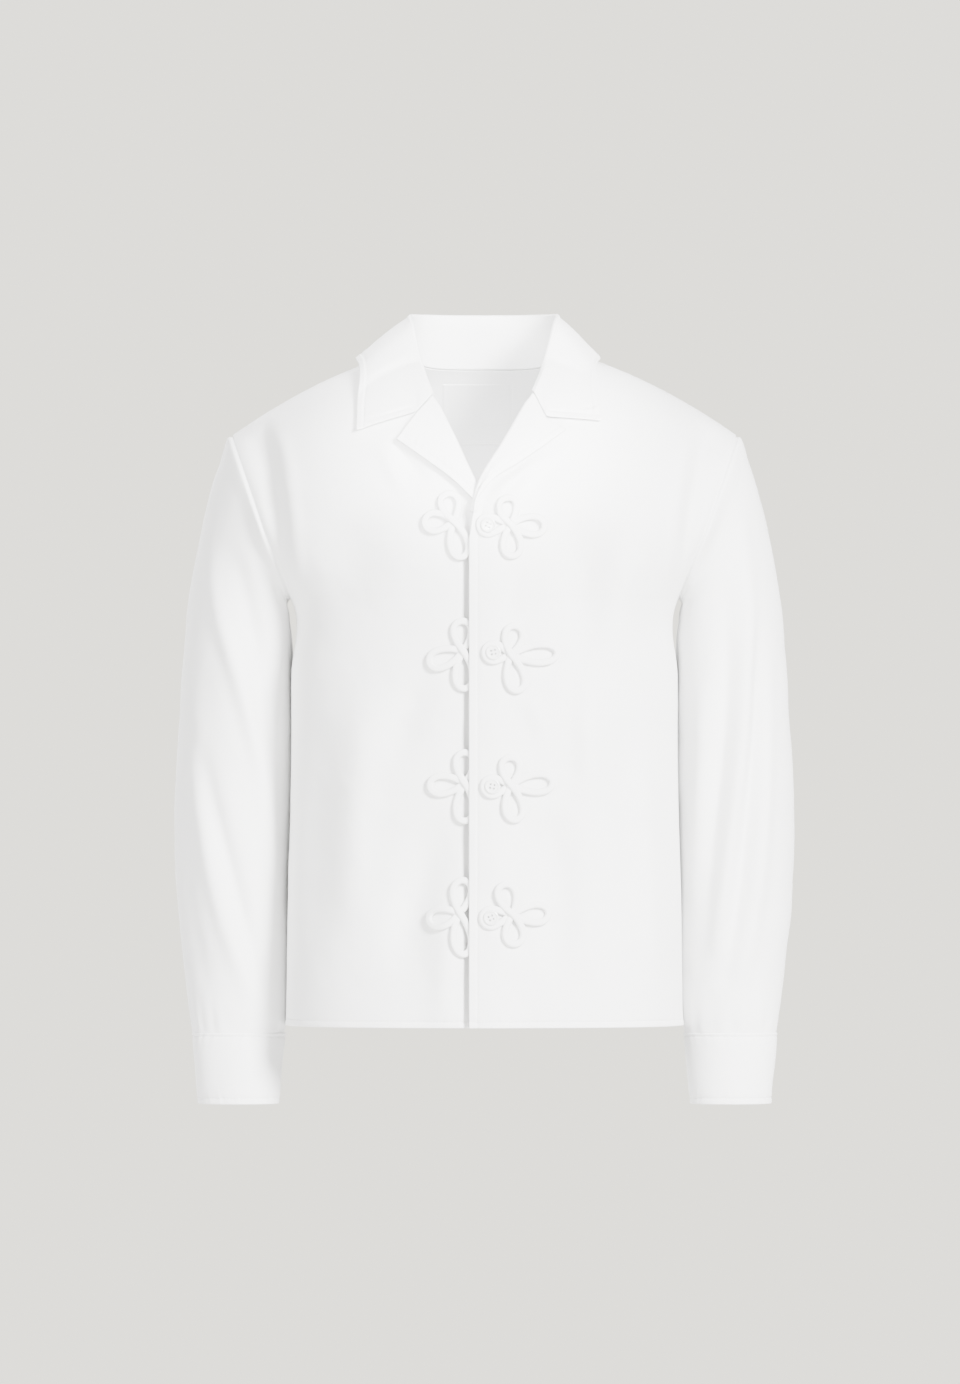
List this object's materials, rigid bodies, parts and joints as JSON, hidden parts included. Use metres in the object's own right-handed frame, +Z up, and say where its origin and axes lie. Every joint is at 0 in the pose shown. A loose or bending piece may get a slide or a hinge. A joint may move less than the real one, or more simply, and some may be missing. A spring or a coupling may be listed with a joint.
{
  "type": "camp collar shirt with corded frog closures",
  "caption": "Long-sleeved white woven shirt with a notched camp collar, a back yoke and corded frog closures, filled out as worn and hollow.",
  "frame": {"origin": "on the middle line, level with the neck ends of the shoulder seams, where the wearer's shoulders carry the shirt", "axes": "+Z up along the body, -Y out of the front, +X to the wearer's left"},
  "size_m": [0.5972, 0.2653, 0.758],
  "materials": {
    "shirting": "matt white plain-woven cotton",
    "frog_cord": "matt white fabric-covered cord",
    "label_tape": "smooth white woven tape, no lettering",
    "button": "satin white resin"
  },
  "bodies": {
    "root": {"front_left": "shirting", "front_right": "shirting", "back": "shirting", "back_yoke": "shirting", "sleeve_left": "shirting", "sleeve_right": "shirting", "cuff_left": "shirting", "cuff_right": "shirting", "lapel_left": "shirting", "lapel_right": "shirting", "collar": "shirting", "neck_label": "label_tape", "frog_left_1": "frog_cord", "frog_left_2": "frog_cord", "frog_left_3": "frog_cord", "frog_left_4": "frog_cord", "frog_right_1": "frog_cord", "frog_right_2": "frog_cord", "frog_right_3": "frog_cord", "frog_right_4": "frog_cord", "button_1": "button", "button_2": "button", "button_3": "button", "button_4": "button"}
  },
  "joints": []
}
